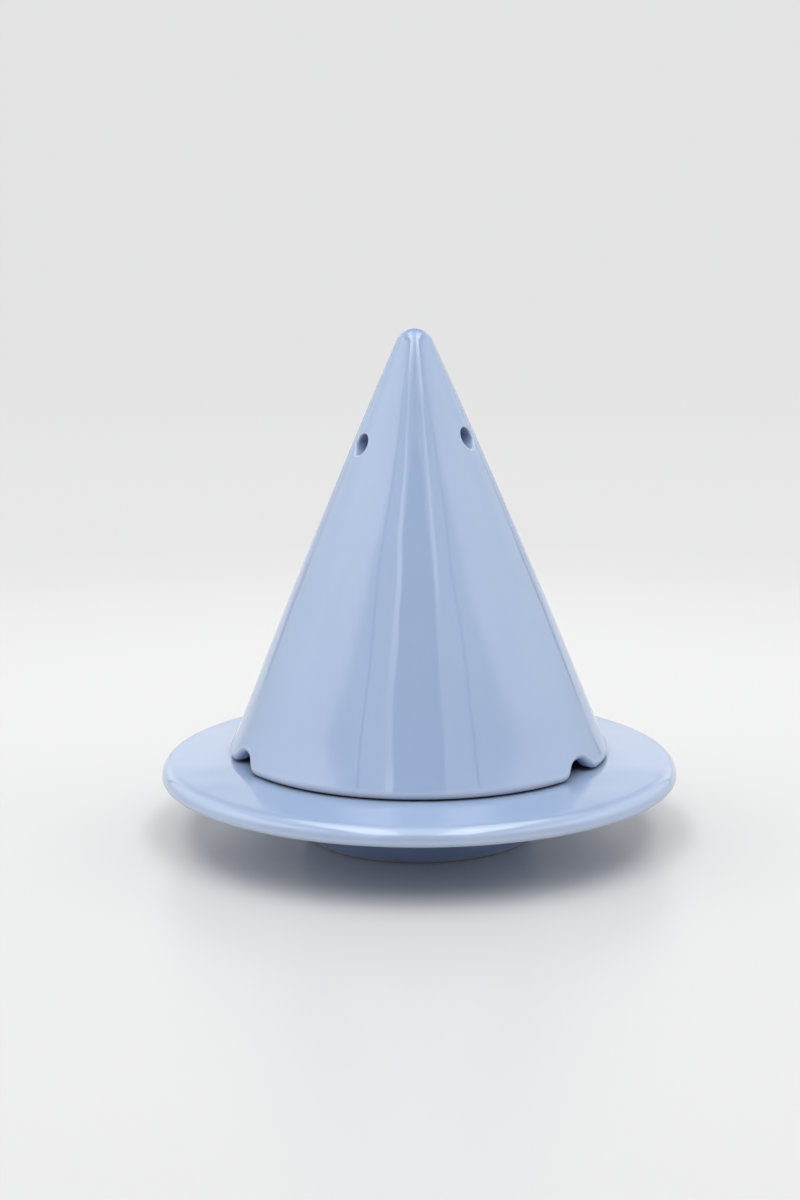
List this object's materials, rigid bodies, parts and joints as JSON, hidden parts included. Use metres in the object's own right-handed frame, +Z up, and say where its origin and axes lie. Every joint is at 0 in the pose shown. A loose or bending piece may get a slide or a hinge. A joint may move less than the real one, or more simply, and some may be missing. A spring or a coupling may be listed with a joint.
{
  "type": "oil burner",
  "caption": "Glazed cone cover with scent vents and rim air inlets, standing on a brimmed saucer whose well hides a tealight, an arched stand and an oil dish.",
  "frame": {"origin": "centre of the saucer's foot ring, on the surface that the burner stands on", "axes": "+Z up along the common axis of saucer, stand, dish and cover; -Y towards the front, midway between the two vents that the picture shows; +X to the right"},
  "size_m": [0.16, 0.16, 0.1567],
  "materials": {
    "glaze": "glossy pale periwinkle blue glaze over a pale stoneware body, bare on the rims and the foot ring",
    "tealight_foil": "thin drawn sheet, satin",
    "wax": "white candle wax, stood in for by a matte plastic",
    "wick_cotton": "braided cotton",
    "wick_tab_metal": "tinned sheet"
  },
  "bodies": {
    "saucer": {"saucer": "glaze"},
    "tealight": {"tealight_cup": "tealight_foil", "tealight_wax": "wax", "tealight_wick": "wick_cotton", "wick_tab": "wick_tab_metal"},
    "stand": {"dish_stand": "glaze"},
    "dish": {"oil_dish": "glaze"},
    "cover": {"cone_cover": "glaze"}
  },
  "joints": [
    {"name": "tealight_lift", "type": "slide", "parent": "saucer", "child": "tealight", "axis": [0, 0, 1], "range_m": [0, 0.022]},
    {"name": "stand_lift", "type": "slide", "parent": "saucer", "child": "stand", "axis": [0, 0, 1], "range_m": [0, 0.055]},
    {"name": "dish_lift", "type": "slide", "parent": "stand", "child": "dish", "axis": [0, 0, 1], "range_m": [0, 0.03]},
    {"name": "cover_lift", "type": "slide", "parent": "dish", "child": "cover", "axis": [0, 0, 1], "range_m": [0, 0.06]}
  ]
}
